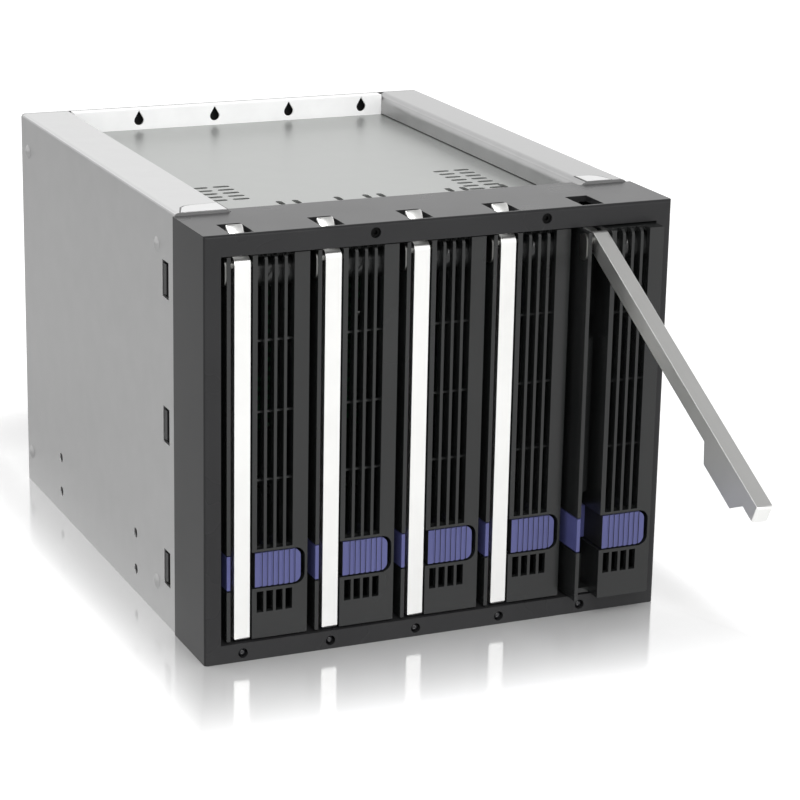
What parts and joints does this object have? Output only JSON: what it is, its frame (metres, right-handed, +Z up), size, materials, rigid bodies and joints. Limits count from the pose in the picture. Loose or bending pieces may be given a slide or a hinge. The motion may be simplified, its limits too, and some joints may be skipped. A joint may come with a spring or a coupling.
{
  "type": "hot swap drive cage",
  "caption": "Steel case with a deep black bezel and upright sliding drive trays, each with a swing lever, vented face and side-sliding latch; fan and sockets at the back.",
  "frame": {"origin": "centre of the underside of the steel case", "axes": "+Z up, -Y out of the bezel's front, +X to the right when seen from the front"},
  "size_m": [0.148, 0.3157, 0.1293],
  "materials": {
    "case_steel": "zinc coated sheet, satin",
    "black_plastic": "fine-grained, satin",
    "black_screw": "blackened",
    "smoked_lens": "polished",
    "circuit_board": "solder mask",
    "port_plastic": "moulded",
    "screw_steel": "bright plated",
    "violet_plastic": "satin",
    "silver_paint": "satin silver"
  },
  "bodies": {
    "cage": {"side_panel_left": "case_steel", "side_panel_right": "case_steel", "base_panel": "case_steel", "top_cover": "case_steel", "rear_wall": "case_steel", "front_bezel": "black_plastic", "bezel_screws": "black_screw", "bay_lights": "smoked_lens", "light_board": "circuit_board", "guide_lower": "black_plastic", "guide_upper": "black_plastic", "backplane": "circuit_board", "drive_sockets": "black_plastic", "backplane_standoffs": "screw_steel", "backplane_screws": "screw_steel", "rear_panel": "case_steel", "case_screws": "screw_steel", "data_ports": "port_plastic", "power_ports": "port_plastic", "fan_frame": "black_plastic", "fan_guard": "screw_steel", "fan_screws": "black_screw"},
    "fan_rotor": {"fan_rotor": "black_plastic"},
    "tray_1": {"tray_1": "black_plastic", "grille_1": "black_plastic", "lever_pin_1": "screw_steel", "latch_spring_1": "screw_steel"},
    "lever_1": {"lever_1": "silver_paint"},
    "latch_1": {"latch_1": "violet_plastic"},
    "tray_2": {"tray_2": "black_plastic", "grille_2": "black_plastic", "lever_pin_2": "screw_steel", "latch_spring_2": "screw_steel"},
    "lever_2": {"lever_2": "silver_paint"},
    "latch_2": {"latch_2": "violet_plastic"},
    "tray_3": {"tray_3": "black_plastic", "grille_3": "black_plastic", "lever_pin_3": "screw_steel", "latch_spring_3": "screw_steel"},
    "lever_3": {"lever_3": "silver_paint"},
    "latch_3": {"latch_3": "violet_plastic"},
    "tray_4": {"tray_4": "black_plastic", "grille_4": "black_plastic", "lever_pin_4": "screw_steel", "latch_spring_4": "screw_steel"},
    "lever_4": {"lever_4": "silver_paint"},
    "latch_4": {"latch_4": "violet_plastic"},
    "tray_5": {"tray_5": "black_plastic", "grille_5": "black_plastic", "lever_pin_5": "screw_steel", "latch_spring_5": "screw_steel"},
    "lever_5": {"lever_5": "silver_paint"},
    "latch_5": {"latch_5": "violet_plastic"}
  },
  "joints": [
    {"name": "fan_spin", "type": "hinge", "parent": "cage", "child": "fan_rotor", "pos_m": [-0.018, 0.0897, 0.064], "axis": [0, 1, 0], "continuous": true},
    {"name": "tray_slide_1", "type": "slide", "parent": "cage", "child": "tray_1", "axis": [0, -1, 0], "range_m": [0, 0.15]},
    {"name": "lever_hinge_1", "type": "hinge", "parent": "tray_1", "child": "lever_1", "pos_m": [-0.06215, -0.1018, 0.1188], "axis": [-1, 0, 0], "range_deg": [0, 61.8]},
    {"name": "latch_push_1", "type": "slide", "parent": "tray_1", "child": "latch_1", "axis": [1, 0, 0], "range_m": [0, 0.0008], "stiffness_N_per_m": 400, "springref_m": -0.0005},
    {"name": "tray_slide_2", "type": "slide", "parent": "cage", "child": "tray_2", "axis": [0, -1, 0], "range_m": [0, 0.15]},
    {"name": "lever_hinge_2", "type": "hinge", "parent": "tray_2", "child": "lever_2", "pos_m": [-0.03455, -0.1018, 0.1188], "axis": [-1, 0, 0], "range_deg": [0, 61.8]},
    {"name": "latch_push_2", "type": "slide", "parent": "tray_2", "child": "latch_2", "axis": [1, 0, 0], "range_m": [0, 0.0008], "stiffness_N_per_m": 400, "springref_m": -0.0005},
    {"name": "tray_slide_3", "type": "slide", "parent": "cage", "child": "tray_3", "axis": [0, -1, 0], "range_m": [0, 0.15]},
    {"name": "lever_hinge_3", "type": "hinge", "parent": "tray_3", "child": "lever_3", "pos_m": [-0.00695, -0.1018, 0.1188], "axis": [-1, 0, 0], "range_deg": [0, 61.8]},
    {"name": "latch_push_3", "type": "slide", "parent": "tray_3", "child": "latch_3", "axis": [1, 0, 0], "range_m": [0, 0.0008], "stiffness_N_per_m": 400, "springref_m": -0.0005},
    {"name": "tray_slide_4", "type": "slide", "parent": "cage", "child": "tray_4", "axis": [0, -1, 0], "range_m": [0, 0.15]},
    {"name": "lever_hinge_4", "type": "hinge", "parent": "tray_4", "child": "lever_4", "pos_m": [0.02065, -0.1018, 0.1188], "axis": [-1, 0, 0], "range_deg": [0, 61.8]},
    {"name": "latch_push_4", "type": "slide", "parent": "tray_4", "child": "latch_4", "axis": [1, 0, 0], "range_m": [0, 0.0008], "stiffness_N_per_m": 400, "springref_m": -0.0005},
    {"name": "tray_slide_5", "type": "slide", "parent": "cage", "child": "tray_5", "axis": [0, -1, 0], "range_m": [-0.0065, 0.1435]},
    {"name": "lever_hinge_5", "type": "hinge", "parent": "tray_5", "child": "lever_5", "pos_m": [0.04825, -0.1083, 0.1188], "axis": [-1, 0, 0], "range_deg": [-61.8, 0]},
    {"name": "latch_push_5", "type": "slide", "parent": "tray_5", "child": "latch_5", "axis": [1, 0, 0], "range_m": [0, 0.0008], "stiffness_N_per_m": 400, "springref_m": -0.0005}
  ]
}
